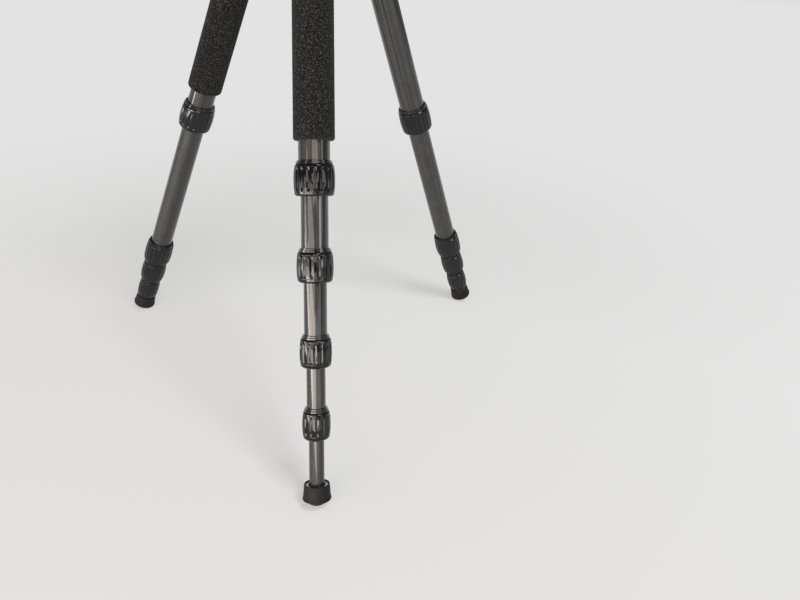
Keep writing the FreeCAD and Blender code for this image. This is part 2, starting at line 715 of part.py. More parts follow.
def make_top_plate():
    """Camera plate: a disc with one ring groove, a relief round the stud and a spigot."""
    edge = size("plate_radius")
    chamfer = size("plate_chamfer")
    under = down(size("plate_thickness"))
    spigot = "(%s - %s)" % (column_inner(), size("running_clearance"))
    spigot_end = "(%s - %s)" % (under, size("spigot_length"))
    bore = "(%s + %s)" % (size("stud_root_radius"), size("running_clearance"))
    relief = "-" + size("stud_relief_depth")
    disc = turned("top_plate_turned", [
        (bore, relief), (size("stud_relief_radius"), relief), (size("stud_relief_radius"), "0"),
        ("%s - %s" % (edge, chamfer), "0"), (edge, "-" + chamfer),
        (edge, "%s + %s" % (under, chamfer)), ("%s - %s" % (edge, chamfer), under),
        (spigot, under), (spigot, spigot_end), (bore, spigot_end)])
    groove_outer = "(%s + %s)" % (size("plate_groove_radius"), size("plate_groove_width"))
    groove = ring("top_plate_groove", size("plate_groove_radius"), groove_outer, "0",
                  "-" + size("plate_groove_depth"))
    return cut("top_plate_shape", disc, groove)


def make_stud():
    """Camera stud, its thread drawn as a plain cylinder of the major diameter."""
    radius = size("stud_radius")
    chamfer = size("stud_chamfer")
    top = size("stud_length")
    root = size("stud_root_radius")
    return turned("camera_stud_shape", [
        ("0", top), ("%s - %s" % (radius, chamfer), top), (radius, "%s - %s" % (top, chamfer)),
        (radius, "0"), (root, "0"), (root, "-" + size("stud_root")), ("0", "-" + size("stud_root"))])


def make_hook():
    """Ballast hook: a plug in the column's lower end, a flange, a stem and an open hook."""
    end = "(-%s - %s)" % (size("plate_thickness"), size("column_length"))
    spigot = "(%s - %s)" % (column_inner(), size("running_clearance"))
    under = "(%s - %s)" % (end, size("hook_flange_height"))
    chamfer = size("plate_chamfer")
    flange = size("hook_flange_radius")
    stem_end = "(%s - %s)" % (under, size("hook_stem_length"))
    plug = turned("hook_plug", [
        ("0", "%s + %s" % (end, size("spigot_length"))), (spigot, "%s + %s" % (end, size("spigot_length"))),
        (spigot, end), (flange, end), (flange, "%s + %s" % (under, chamfer)),
        ("%s - %s" % (flange, chamfer), under), (size("hook_stem_radius"), under),
        (size("hook_stem_radius"), stem_end), ("0", stem_end)])
    loop = primitive("Torus", "hook_loop",
                     at("0", "0", "%s - %s" % (stem_end, size("hook_loop_radius")), "0", "-90", "90"),
                     Radius1=size("hook_loop_radius"), Radius2=size("hook_wire_radius"),
                     Angle3=size("hook_sweep"))
    return fused("column_hook_shape", plug, loop)


def on_leg(azimuth, distance):
    """Place of a piece that slides a distance down a leg."""
    turn = at(yaw=str(azimuth))
    pivot = at(size("pivot_radius"), "0", pivot_height(), "0", "-" + size("leg_angle"))
    return "%s * %s * %s" % (turn, pivot, at(z=down(distance)))


# One shape for each kind of piece, in leg coordinates: pivot at the origin, leg along -Z.

tubes = {section: make_tube(section) for section in SECTIONS}
lock_rings = {lock: make_lock_ring(lock) for lock in LOCKS}
fittings = {section: [] for section in SECTIONS}
for lock in LOCKS:
    fittings[lock] += [make_ferrule(lock), make_collet(lock)]
    fittings[lock + 1] += [make_guides(lock + 1)]
fittings[5] += [make_foot_insert()]
foot = make_foot()
foam = make_foam()
yoke = make_yoke()
angle_stop = make_angle_stop()
pivot_bolt = make_pivot_bolt()

for leg, azimuth in LEGS:
    place = on_leg(azimuth, "0")
    node(leg + "_yoke", yoke, place=place)
    node(leg + "_angle_stop", angle_stop, place=place)
    if leg in FOAM_LEGS:
        node(leg + "_foam_grip", foam, place=place)
    for section in SECTIONS:
        place = on_leg(azimuth, draw(leg, section))
        node("%s_tube_%d" % (leg, section), tubes[section], place=place)
        node("%s_fittings_%d" % (leg, section), *fittings[section], place=place)
        if section in LOCKS:
            node("%s_lock_ring_%d" % (leg, section), lock_rings[section], place=place)
        else:
            node(leg + "_foot", foot, place=place)

in_pivot_plane = at(z=pivot_height())
node("spider", make_spider(), place=in_pivot_plane)
node("column_lock", *make_column_lock(), place=in_pivot_plane)
bolts = []
for leg, azimuth in LEGS:
    bolt_place = "%s * %s" % (at(yaw=str(azimuth)), at(size("pivot_radius"), roll="90"))
    bolts.append(grouped("pivot_bolt_" + leg, pivot_bolt, place=bolt_place))
node("pivot_bolts", *bolts, place=in_pivot_plane)
node("column_tube", make_column_tube())
node("top_plate", make_top_plate())
node("camera_stud", make_stud())
node("column_hook", make_hook())

doc.recompute()
for made in doc.Objects:
    if "Invalid" in made.State or "Error" in made.State:
        raise RuntimeError("%s did not compute: %s" % (made.Label, made.State))
for made in nodes:
    if made.Shape.isNull() or not made.Shape.isValid() or not made.Shape.Solids:
        raise RuntimeError("%s has no valid solid" % made.Label)

os.makedirs("parts", exist_ok=True)
for made in nodes:
    made.Shape.exportStep("parts/%s.step" % made.Label)
print(len(nodes), "nodes,", sum(len(made.Shape.Solids) for made in nodes), "solids")
print("pivot height %.3f mm, floor height %.3f mm" % (
    value(pivot_height()),
    value("%s - %s * cos(%s * 1 deg) - %s - (%s) * cos(%s * 1 deg)" % (
        pivot_height(), TIP_CENTRE, size("leg_angle"), TIP_RADIUS,
        draw("front", 5), size("leg_angle")))))
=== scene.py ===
# %% [markdown]
# # A travel tripod on studio paper
#
# This lesson dresses a packed tripod for its portrait. The frame brings solids that
# are right in size and place. Here the pieces that the eye rests on are turned,
# fluted and textured again, and each finish is built from what the real one is:
# clear-coated carbon, moulded nylon, foam, rubber, and cast, turned and anodised metal.

# %% Load the frame
import json
import math

import bmesh
import bpy
from mathutils import Euler, Matrix, Vector, noise


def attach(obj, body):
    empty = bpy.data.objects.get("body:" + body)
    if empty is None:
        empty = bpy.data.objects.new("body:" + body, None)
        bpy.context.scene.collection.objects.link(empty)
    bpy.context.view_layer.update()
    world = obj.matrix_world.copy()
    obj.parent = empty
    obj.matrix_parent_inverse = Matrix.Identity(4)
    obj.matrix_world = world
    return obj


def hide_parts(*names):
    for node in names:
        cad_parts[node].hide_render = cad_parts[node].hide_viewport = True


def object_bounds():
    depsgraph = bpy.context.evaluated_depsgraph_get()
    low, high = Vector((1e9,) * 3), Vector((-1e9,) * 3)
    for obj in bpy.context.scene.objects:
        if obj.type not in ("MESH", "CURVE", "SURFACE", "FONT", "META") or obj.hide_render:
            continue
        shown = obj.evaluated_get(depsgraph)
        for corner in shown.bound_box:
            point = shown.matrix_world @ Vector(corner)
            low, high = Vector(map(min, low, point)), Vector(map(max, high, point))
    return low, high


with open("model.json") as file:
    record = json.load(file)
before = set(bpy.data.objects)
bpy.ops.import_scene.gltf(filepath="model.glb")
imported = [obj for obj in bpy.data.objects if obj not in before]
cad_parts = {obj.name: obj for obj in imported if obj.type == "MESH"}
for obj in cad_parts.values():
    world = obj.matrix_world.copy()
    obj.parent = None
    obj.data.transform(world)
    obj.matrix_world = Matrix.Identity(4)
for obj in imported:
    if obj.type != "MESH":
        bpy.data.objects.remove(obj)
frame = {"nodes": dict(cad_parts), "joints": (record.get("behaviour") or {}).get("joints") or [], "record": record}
cad_low, cad_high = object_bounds()
print("size in mm:", [round(side * 1000, 1) for side in cad_high - cad_low])

# %% [markdown]
# ## Working from the legs
#
# A leg leans and slides along its own axis, so every turned piece on it is easiest
# to draw upright. Each leg gets a matrix, read from its joints: the swing joint gives
# the pivot and the line of the bolt, and the slide joints give the way down the leg.
# Heights on a leg are then negative numbers, from the pivot downwards.

# %% Leg frames and measured spans
MM = 0.001
LEGS = ("front", "right", "left")
FOAM_LEGS = ("front", "left")
SECTIONS = (1, 2, 3, 4, 5)
LOCKS = (1, 2, 3, 4)
joints = {joint["name"]: joint for joint in frame["joints"]}
body_of = {node: body for body, nodes in frame["record"]["behaviour"]["bodies"].items() for node in nodes}
slot_of = {row["node"]: row["material_slot"] for row in frame["record"]["subparts"]}


def leg_matrix(leg):
    swing = joints[leg + "_leg_swing"]
    up = -Vector(joints[leg + "_slide_2"]["axis"])
    across = -Vector(swing["axis"])
    matrix = Matrix((across.cross(up), across, up)).transposed().to_4x4()
    matrix.translation = Vector(swing["pos_m"])
    return matrix


leg_frames = {leg: leg_matrix(leg) for leg in LEGS}
upright = Matrix.Identity(4)


def span(node, matrix):
    """Highest point, lowest point and largest radius of a CAD node about an axis."""
    back = matrix.inverted()
    points = [back @ vertex.co for vertex in frame["nodes"][node].data.vertices]
    heights = [point.z for point in points]
    return max(heights), min(heights), max(math.hypot(point.x, point.y) for point in points)


for leg in LEGS:
    top, bottom, radius = span(leg + "_tube_1", leg_frames[leg])
    print(leg, "upper tube:", round((top - bottom) / MM, 1), "mm long,", round(radius / MM, 1), "mm radius")

# %% [markdown]
# ## Small tools for turned parts
#
# Most of a tripod comes off a lathe, so one helper spins an outline about Z. Real
# corners are never sharp: a moulded or turned edge keeps a small round that catches
# a line of light. `eased` puts that round into the outline itself, which costs a few
# points and needs no bevel afterwards. One more point holds each straight run flat
# beside its round. Without it the smooth shading of the round would creep along the
# whole run, and a lamp's stripe on a long tube would bend away.

# %% Outline and lathe helpers
EASE_STEPS = 3
HOLD = 1.7
# A round takes at most this share of the run beside it, and the holding point this one.
ROUND_SHARE = 0.45
HOLD_SHARE = 0.48
WELD = 1e-7
LATHE_SHARP = 35.0


def eased(outline, radius, closed=True):
    """Rounds each corner of an outline. A point with a third entry has its own radius."""
    smooth = []
    for index, entry in enumerate(outline):
        corner = Vector(entry[:2])
        if not closed and index in (0, len(outline) - 1):
            smooth.append(tuple(corner))
            continue
        before = Vector(outline[index - 1][:2]) - corner
        after = Vector(outline[(index + 1) % len(outline)][:2]) - corner
        wanted = entry[2] if len(entry) == 3 else radius
        reach = min(wanted, before.length * ROUND_SHARE, after.length * ROUND_SHARE)
        first = corner + before.normalized() * reach
        last = corner + after.normalized() * reach
        smooth.append(tuple(corner + before.normalized() * min(HOLD * reach, before.length * HOLD_SHARE)))
        for step in range(EASE_STEPS + 1):
            share = step / EASE_STEPS
            point = first * (1 - share) ** 2 + corner * 2 * share * (1 - share) + last * share ** 2
            smooth.append(tuple(point))
        smooth.append(tuple(corner + after.normalized() * min(HOLD * reach, after.length * HOLD_SHARE)))
    return smooth


def place_mesh(name, build, matrix, sharp):
    """Turns a bmesh into a piece in the row's frame, shaded smooth up to an angle."""
    bmesh.ops.remove_doubles(build, verts=build.verts, dist=WELD)
    bmesh.ops.recalc_face_normals(build, faces=build.faces)
    bmesh.ops.transform(build, matrix=matrix, verts=build.verts)
    mesh = bpy.data.meshes.new(name)
    build.to_mesh(mesh)
    build.free()
    mesh.shade_smooth()
    mesh.set_sharp_from_angle(angle=math.radians(sharp))
    piece = bpy.data.objects.new(name, mesh)
    bpy.context.scene.collection.objects.link(piece)
    return piece


def skin(build, rows):
    """Joins rings of points, and the last ring to the first, into a closed surface."""
    grid = [[build.verts.new(point) for point in row] for row in rows]
    for index, upper in enumerate(grid):
        lower = grid[(index + 1) % len(grid)]
        for place in range(len(upper)):
            following = (place + 1) % len(upper)
            build.faces.new((upper[place], upper[following], lower[following], lower[place]))


def circle(radius, height, steps):
    angles = [2 * math.pi * step / steps for step in range(steps)]
    return [Vector((radius * math.cos(angle), radius * math.sin(angle), height)) for angle in angles]


def lathe(name, outline, matrix, steps):
    """Turned piece from a closed outline of (radius, height) points."""
    build = bmesh.new()
    skin(build, [circle(radius, height, steps) for radius, height in outline])
    return place_mesh(name, build, matrix, LATHE_SHARP)


def dress(piece, node):
    """A piece rides where its CAD node rides and stands for it."""
    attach(piece, body_of[node])
    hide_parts(node)
    return piece


# %% [markdown]
# ## One helper for nodes, and colours in hex
#
# A shader tree is easier to read when each node is one line: its kind, what feeds
# its sockets, and its settings. Colours are written as they would look on a screen,
# in hex, and one function turns them into the linear numbers that a shader takes.

# %% Shader helpers
def linear(colour):
    """Linear red, green, blue and alpha of a screen colour such as #8a8178."""
    parts = [int(colour[place:place + 2], 16) / 255 for place in (1, 3, 5)]
    return tuple(part / 12.92 if part <= 0.04045 else ((part + 0.055) / 1.055) ** 2.4 for part in parts) + (1.0,)


def add(tree, kind, feeds=None, stops=(), **settings):
    """Adds a node. Feeds are sockets to link or values to set, by socket name or number.

    Stops are the (place, hex colour) pairs of a colour ramp, and settings are the node's own.
    """
    made = tree.nodes.new("ShaderNode" + kind)
    for name, setting in settings.items():
        setattr(made, name, setting)
    for number, (place, colour) in enumerate(stops):
        if number == len(made.color_ramp.elements):
            made.color_ramp.elements.new(place)
        made.color_ramp.elements[number].position = place
        made.color_ramp.elements[number].color = linear(colour)
    for socket, source in (feeds or {}).items():
        if isinstance(source, bpy.types.NodeSocket):
            tree.links.new(source, made.inputs[socket])
        else:
            made.inputs[socket].default_value = source
    return made


def blank_material(name):
    """Empty node tree of a new material."""
    material = bpy.data.materials.new(name)
    material.use_nodes = True
    material.node_tree.nodes.clear()
    return material, material.node_tree


def in_leg(tree, leg):
    """Coordinates that run along a leg, in metres, whichever way the leg leans."""
    matrix = leg_frames[leg]
    place = add(tree, "TexCoord")
    moved = add(tree, "Mapping", {"Vector": place.outputs["Object"], "Location": matrix.translation,
                                  "Rotation": matrix.to_euler()}, vector_type="TEXTURE")
    return moved.outputs["Vector"]


# %% [markdown]
# ## Clear-coated carbon tube
#
# The tubes are carbon fibre in epoxy, rolled on a mandrel, ground true and sprayed
# with a clear coat. The eye reads three things: a warm grey-brown from the fibres,
# fine streaks down the tube with a faint twill under them, and sharp lengthwise
# bands where the clear coat mirrors the studio's lamps. Epoxy has an IOR near 1.5.
# Under the coat the fibres gleam like dull metal, and the grinding wheel has left
# marks round the tube. Such marks stretch every highlight along the tube. So the base
# is metallic and strongly anisotropic, and its tangent runs along the leg. It is given
# in the piece's own coordinates and turned into the world's, so that it follows the
# leg when the leg swings.

# %% Carbon
STREAK_WIDTH = 0.5 * MM
STREAK_STRETCH = 60
TWILL_COUNT = 56
TWILL_RISE = 1.6 * MM
TWILL_SHARE = 0.10
CLOUD_SHARE = 0.25
# Soft patches of tone are counted to a metre, here and in the finishes below.
CLOUDS = 90.0
EPOXY_IOR = 1.5
# Noise textures stay mostly between these two values, which a roughness is spread over.
NOISE_SPAN = {"From Min": 0.3, "From Max": 0.7}
CARBON_TONES = ((0.30, "#2d2b29"), (0.50, "#3a3835"), (0.72, "#4b4844"))


def carbon(leg):
    material, tree = blank_material("clear_coated_carbon_" + leg)
    along = in_leg(tree, leg)
    drawn = add(tree, "Mapping", {"Vector": along, "Scale": (1, 1, 1 / STREAK_STRETCH)})
    streaks = add(tree, "TexNoise", {"Vector": drawn.outputs["Vector"], "Scale": 1 / STREAK_WIDTH, "Detail": 3.0})
    clouds = add(tree, "TexNoise", {"Vector": along, "Scale": CLOUDS, "Detail": 2.0})
    axes = add(tree, "SeparateXYZ", {"Vector": along})
    turn = add(tree, "Math", {0: axes.outputs["Y"], 1: axes.outputs["X"]}, operation="ARCTAN2")
    column = add(tree, "Math", {0: turn.outputs[0], 1: TWILL_COUNT / (2 * math.pi)}, operation="MULTIPLY")
    level = add(tree, "Math", {0: axes.outputs["Z"], 1: TWILL_RISE}, operation="DIVIDE")
    rising = add(tree, "Math", {0: column.outputs[0], 1: level.outputs[0]}, operation="ADD")
    twill = add(tree, "Math", {0: rising.outputs[0], 1: 1.0}, operation="PINGPONG")
    mixed = add(tree, "Mix", {"Factor": TWILL_SHARE, "A": streaks.outputs["Fac"], "B": twill.outputs[0]})
    cloudy = add(tree, "Mix", {"Factor": CLOUD_SHARE, "A": mixed.outputs["Result"], "B": clouds.outputs["Fac"]})
    colour = add(tree, "ValToRGB", {"Fac": cloudy.outputs["Result"]}, CARBON_TONES)
    rough = add(tree, "MapRange", {"Value": mixed.outputs["Result"], **NOISE_SPAN, "To Min": 0.36, "To Max": 0.46})
    bump = add(tree, "Bump", {"Height": mixed.outputs["Result"], "Strength": 0.12, "Distance": 0.05 * MM})
    along_leg = add(tree, "VectorTransform", {"Vector": leg_frames[leg].col[2].to_3d()}, vector_type="VECTOR",
                   convert_from="OBJECT", convert_to="WORLD")
    shader = add(tree, "BsdfPrincipled", {
        "Base Color": colour.outputs["Color"], "Metallic": 0.95, "Roughness": rough.outputs["Result"],
        "Anisotropic": 0.9, "Tangent": along_leg.outputs["Vector"], "Coat Weight": 1.0, "Coat Roughness": 0.06,
        "Coat IOR": EPOXY_IOR, "Normal": bump.outputs["Normal"]})
    add(tree, "OutputMaterial", {"Surface": shader.outputs["BSDF"]})
    return material


carbon_finish = {leg: carbon(leg) for leg in LEGS}
print("twill on the upper tube:", round(2 * math.pi * radius / MM / TWILL_COUNT, 2), "mm across")

# %% [markdown]
# ## Moulded nylon
#
# The twist rings are nylon with short glass fibre, moulded in a polished tool. That
# gives a deep black with a bright, slightly wavy gloss: glass fibre leaves the skin
# a little uneven, about 0.3 mm from crest to crest. Nylon's IOR is 1.53. Hands rub
# the ridges, so the gloss varies softly from place to place, and a thin film of use
# takes a fifth off its strength.

# %% Nylon
NYLON_GRAIN = 0.35 * MM
RUBBED_PATCHES = 160.0
NYLON_IOR = 1.53
NYLON_GLOSS = 0.4


def nylon():
    material, tree = blank_material("moulded_black_nylon")
    place = add(tree, "TexCoord").outputs["Object"]
    grain = add(tree, "TexNoise", {"Vector": place, "Scale": 1 / NYLON_GRAIN, "Detail": 2.0})
    rubbed = add(tree, "TexNoise", {"Vector": place, "Scale": RUBBED_PATCHES, "Detail": 3.0})
    colour = add(tree, "ValToRGB", {"Fac": rubbed.outputs["Fac"]}, ((0.35, "#020203"), (0.65, "#060607")))
    rough = add(tree, "MapRange", {"Value": rubbed.outputs["Fac"], **NOISE_SPAN, "To Min": 0.05, "To Max": 0.09})
    bump = add(tree, "Bump", {"Height": grain.outputs["Fac"], "Strength": 0.03, "Distance": 0.05 * MM})
    shader = add(tree, "BsdfPrincipled", {
        "Base Color": colour.outputs["Color"], "Roughness": rough.outputs["Result"], "IOR": NYLON_IOR,
        "Specular IOR Level": NYLON_GLOSS, "Normal": bump.outputs["Normal"]})
    add(tree, "OutputMaterial", {"Surface": shader.outputs["BSDF"]})
    return material


# %% [markdown]
# ## Closed-cell foam
#
# The grips are nitrile foam, extruded as a tube and ground to size. Grinding opens
# the outermost cells, so the surface is a dense field of pits about 0.7 mm across
# with grey rims between them. They are drawn 1.1 mm wide, because finer ones would
# blur into an even grey from where the camera stands. The foam is nearly black, has
# hardly any gloss, and scatters a little light at its edge, which a touch of sheen gives.

# %% Foam
FOAM_CELL = 1.1 * MM
FOAM_IOR = 1.45
OPEN_CELL_GLOSS = 0.25


def foam():
    material, tree = blank_material("ground_nitrile_foam")
    place = add(tree, "TexCoord").outputs["Object"]
    cells = add(tree, "TexVoronoi", {"Vector": place, "Scale": 1 / FOAM_CELL, "Randomness": 1.0})
    specks = add(tree, "TexNoise", {"Vector": place, "Scale": 0.8 / FOAM_CELL, "Detail": 4.0})
    mixed = add(tree, "Mix", {"Factor": 0.5, "A": cells.outputs["Distance"], "B": specks.outputs["Fac"]})
    colour = add(tree, "ValToRGB", {"Fac": mixed.outputs["Result"]},
                 ((0.39, "#000000"), (0.52, "#060606"), (0.67, "#353535")))
    bump = add(tree, "Bump", {"Height": mixed.outputs["Result"], "Strength": 0.9, "Distance": 0.35 * MM})
    shader = add(tree, "BsdfPrincipled", {
        "Base Color": colour.outputs["Color"], "Roughness": 0.95, "IOR": FOAM_IOR,
        "Specular IOR Level": OPEN_CELL_GLOSS, "Sheen Weight": 0.04, "Sheen Roughness": 0.6,
        "Normal": bump.outputs["Normal"]})
    add(tree, "OutputMaterial", {"Surface": shader.outputs["BSDF"]})
    return material


# %% [markdown]
# ## Rubber
#
# The feet are moulded natural rubber. The mould is sand-blasted, which leaves a fine
# matte grain of about 0.3 mm, and the rubber is a warm charcoal, not a true black.
# Dust greys it slightly in patches. Rubber has an IOR of 1.52. The blasted grain and
# the dust swallow half of its gloss.

# %% Rubber
RUBBER_GRAIN = 0.3 * MM
DUST_PATCHES = 120.0
RUBBER_IOR = 1.52
RUBBER_GLOSS = 0.25


def rubber():
    material, tree = blank_material("moulded_matte_rubber")
    place = add(tree, "TexCoord").outputs["Object"]
    grain = add(tree, "TexNoise", {"Vector": place, "Scale": 1 / RUBBER_GRAIN, "Detail": 3.0})
    dust = add(tree, "TexNoise", {"Vector": place, "Scale": DUST_PATCHES, "Detail": 5.0})
    colour = add(tree, "ValToRGB", {"Fac": dust.outputs["Fac"]}, ((0.35, "#0b0b0b"), (0.70, "#161615")))
    rough = add(tree, "MapRange", {"Value": dust.outputs["Fac"], **NOISE_SPAN, "To Min": 0.55, "To Max": 0.72})
    bump = add(tree, "Bump", {"Height": grain.outputs["Fac"], "Strength": 0.25, "Distance": 0.08 * MM})
    shader = add(tree, "BsdfPrincipled", {
        "Base Color": colour.outputs["Color"], "Roughness": rough.outputs["Result"], "IOR": RUBBER_IOR,
        "Specular IOR Level": RUBBER_GLOSS, "Normal": bump.outputs["Normal"]})
    add(tree, "OutputMaterial", {"Surface": shader.outputs["BSDF"]})
    return material


# %% [markdown]
# ## Black metals
#
# Two blacks meet at the top of each leg. The castings are aluminium under a textured
# powder coat, which flows into soft grains about half a millimetre wide. The turned
# parts, such as the ferrules' flanges and the camera plate, are black anodised: dye
# in a thin glassy layer over metal, so they keep the lathe's fine rings and a
# brighter, tighter highlight. The anodised finish is metallic, the paint is not.
# A lathe's rings are about 0.1 mm apart. They are drawn 2.2 mm apart, because finer
# ones don't show. A wave texture has 20 / (2 pi) bands to a unit, hence its scale.

# %% Powder coat and anodised aluminium
COAT_GRAIN = 0.5 * MM
COAT_PATCHES = 60.0
OXIDE_PATCHES = 200.0
PAINT_IOR = 1.5
LATHE_RING = 2.2 * MM
BANDS_PER_UNIT = 20 / (2 * math.pi)
OXIDE_IOR = 1.5


def powder_coat():
    material, tree = blank_material("textured_powder_coat")
    place = add(tree, "TexCoord").outputs["Object"]
    grain = add(tree, "TexNoise", {"Vector": place, "Scale": 1 / COAT_GRAIN, "Detail": 2.0, "Roughness": 0.4})
    tone = add(tree, "TexNoise", {"Vector": place, "Scale": COAT_PATCHES, "Detail": 3.0})
    colour = add(tree, "ValToRGB", {"Fac": tone.outputs["Fac"]}, ((0.35, "#141416"), (0.65, "#1d1d20")))
    bump = add(tree, "Bump", {"Height": grain.outputs["Fac"], "Strength": 0.5, "Distance": 0.10 * MM})
    shader = add(tree, "BsdfPrincipled", {
        "Base Color": colour.outputs["Color"], "Roughness": 0.42, "IOR": PAINT_IOR,
        "Normal": bump.outputs["Normal"]})
    add(tree, "OutputMaterial", {"Surface": shader.outputs["BSDF"]})
    return material


def anodised(name, dark, light, roughness, leg=None, oxide=0.0):
    """Turned metal with lathe rings about the leg's or the column's axis, under a glassy oxide."""
    material, tree = blank_material(name)
    place = in_leg(tree, leg) if leg else add(tree, "TexCoord").outputs["Object"]
    rings = add(tree, "TexWave", {"Vector": place, "Scale": 1 / (LATHE_RING * BANDS_PER_UNIT), "Distortion": 0.6,
                                  "Detail": 2.0}, wave_type="BANDS", bands_direction="Z")
    tone = add(tree, "TexNoise", {"Vector": place, "Scale": OXIDE_PATCHES, "Detail": 4.0})
    colour = add(tree, "ValToRGB", {"Fac": tone.outputs["Fac"]}, ((0.35, dark), (0.65, light)))
    rough = add(tree, "MapRange", {"Value": tone.outputs["Fac"], **NOISE_SPAN, "To Min": roughness - 0.04,
                                   "To Max": roughness + 0.06})
    bump = add(tree, "Bump", {"Height": rings.outputs["Fac"], "Strength": 0.06, "Distance": 0.03 * MM})
    shader = add(tree, "BsdfPrincipled", {
        "Base Color": colour.outputs["Color"], "Metallic": 0.85, "Roughness": rough.outputs["Result"],
        "Coat Weight": oxide, "Coat Roughness": 0.08, "Coat IOR": OXIDE_IOR, "Normal": bump.outputs["Normal"]})
    add(tree, "OutputMaterial", {"Surface": shader.outputs["BSDF"]})
    return material


# %% [markdown]
# ## Bright metals
#
# The ring inside each foot is plain turned aluminium, the angle stops are satin
# anodised, and the bolts and the camera stud are stainless steel. All of them are
# the same recipe as the black anodised parts with another colour and roughness,
# because what differs to the eye is how light and how sharp they mirror.

# %% Finishes by slot
finishes = {
    "lock_polymer": nylon(),
    "grip_foam": foam(),
    "foot_rubber": rubber(),
    "cast_black": powder_coat(),
    "stop_aluminium": anodised("satin_anodised_aluminium", "#8f9092", "#a8a9aa", 0.32),
    "bolt_steel": anodised("turned_stainless_steel", "#a19e99", "#bdbab5", 0.22),
    "stud_steel": anodised("rolled_stainless_steel", "#a9a6a1", "#c4c1bc", 0.20),
    "anodised_black": anodised("black_anodised_plate", "#121213", "#1c1c1e", 0.24, oxide=1.0),
}
leg_finishes = {}
for leg in LEGS:
    leg_finishes[leg] = {
        "carbon_tube": carbon_finish[leg],
        "anodised_black": anodised("black_anodised_flange_" + leg, "#0b0b0c", "#131314", 0.18, leg, 1.0),
        "insert_aluminium": anodised("turned_aluminium_" + leg, "#c9c6c0", "#dedbd6", 0.25, leg),
    }
finishes["carbon_tube"] = carbon_finish["front"]


def finish_for(node):
    """Material of a node: its leg's own where the grain follows the leg."""
    leg = node.split("_")[0]
    return leg_finishes.get(leg, finishes).get(slot_of[node]) or finishes[slot_of[node]]


def coat(piece, node):
    piece.data.materials.clear()
    piece.data.materials.append(finish_for(node))


# %% [markdown]
# ## Tubes
#
# A rolled tube is a plain sleeve with its ends broken by a file. What matters is
# that it is truly round: a coarse facet would bend the lamp's reflection, so each
# tube gets 128 sides. Its length, place and radius are read from its CAD node.

# %% Tubes
TUBE_SIDES = 128
TUBE_WALL = 1.2 * MM
COLUMN_WALL = 1.5 * MM
TUBE_EDGE = 0.15 * MM


def tube(name, node, matrix, wall):
    top, bottom, radius = span(node, matrix)
    outline = eased([(radius - wall, top), (radius, top), (radius, bottom), (radius - wall, bottom)], TUBE_EDGE)
    piece = dress(lathe(name, outline, matrix, TUBE_SIDES), node)
    coat(piece, node)
    return radius


tube_radius = {}
for leg in LEGS:
    for section in SECTIONS:
        node = "%s_tube_%d" % (leg, section)
        tube_radius[section] = tube("%s_carbon_%d" % (leg, section), node, leg_frames[leg], TUBE_WALL)
tube("column_carbon", "column_tube", upright, COLUMN_WALL)
print("tube diameters in mm:", [round(2 * radius / MM, 2) for radius in tube_radius.values()])

# %% [markdown]
# ## Twist rings
#
# Each tube is locked by a ring that swells in the middle for the hand, and from
# fourteen to eighteen round-ended flutes give wet fingers a grip. A boolean could cut
# the flutes, but it leaves long thin faces that shade badly. Here the ring is one grid
# instead. Its columns follow the edge of each flute, also round the ends, so that the
# grooves stay crisp and the lands between them smooth.

# %% Fluted barrel
FLUTE_SHARE = 0.52
FLUTE_DEPTH = 0.85 * MM
FLUTE_POINT = 2.2
FLUTE_EASE = 0.10
FLUTE_TOP_MARGIN = 1.7 * MM
FLUTE_BOTTOM_MARGIN = 2.3 * MM
RING_TOP_CHAMFER = 0.8 * MM
RING_BOTTOM_CHAMFER = 1.4 * MM
RING_EDGE = 0.4 * MM
SHOULDER_STEP = 0.1 * MM
SHOULDER_RUN = 1.0 * MM
ACROSS_FLUTE = (-1.25, -1.08, -0.92, -0.6, -0.2, 0.2, 0.6, 0.92, 1.08, 1.25)
FLUTE_END = (1.12, 1.02, 0.99, 0.92, 0.80, 0.62, 0.35, 0.0)
MIDDLE_ROWS = 7


def flute_bowl(across):
    """Depth of a flute at a place across it, with a small round at its edges."""
    slope = 1 - across ** 2
    return 0.5 * (slope + math.sqrt(slope ** 2 + FLUTE_EASE ** 2))


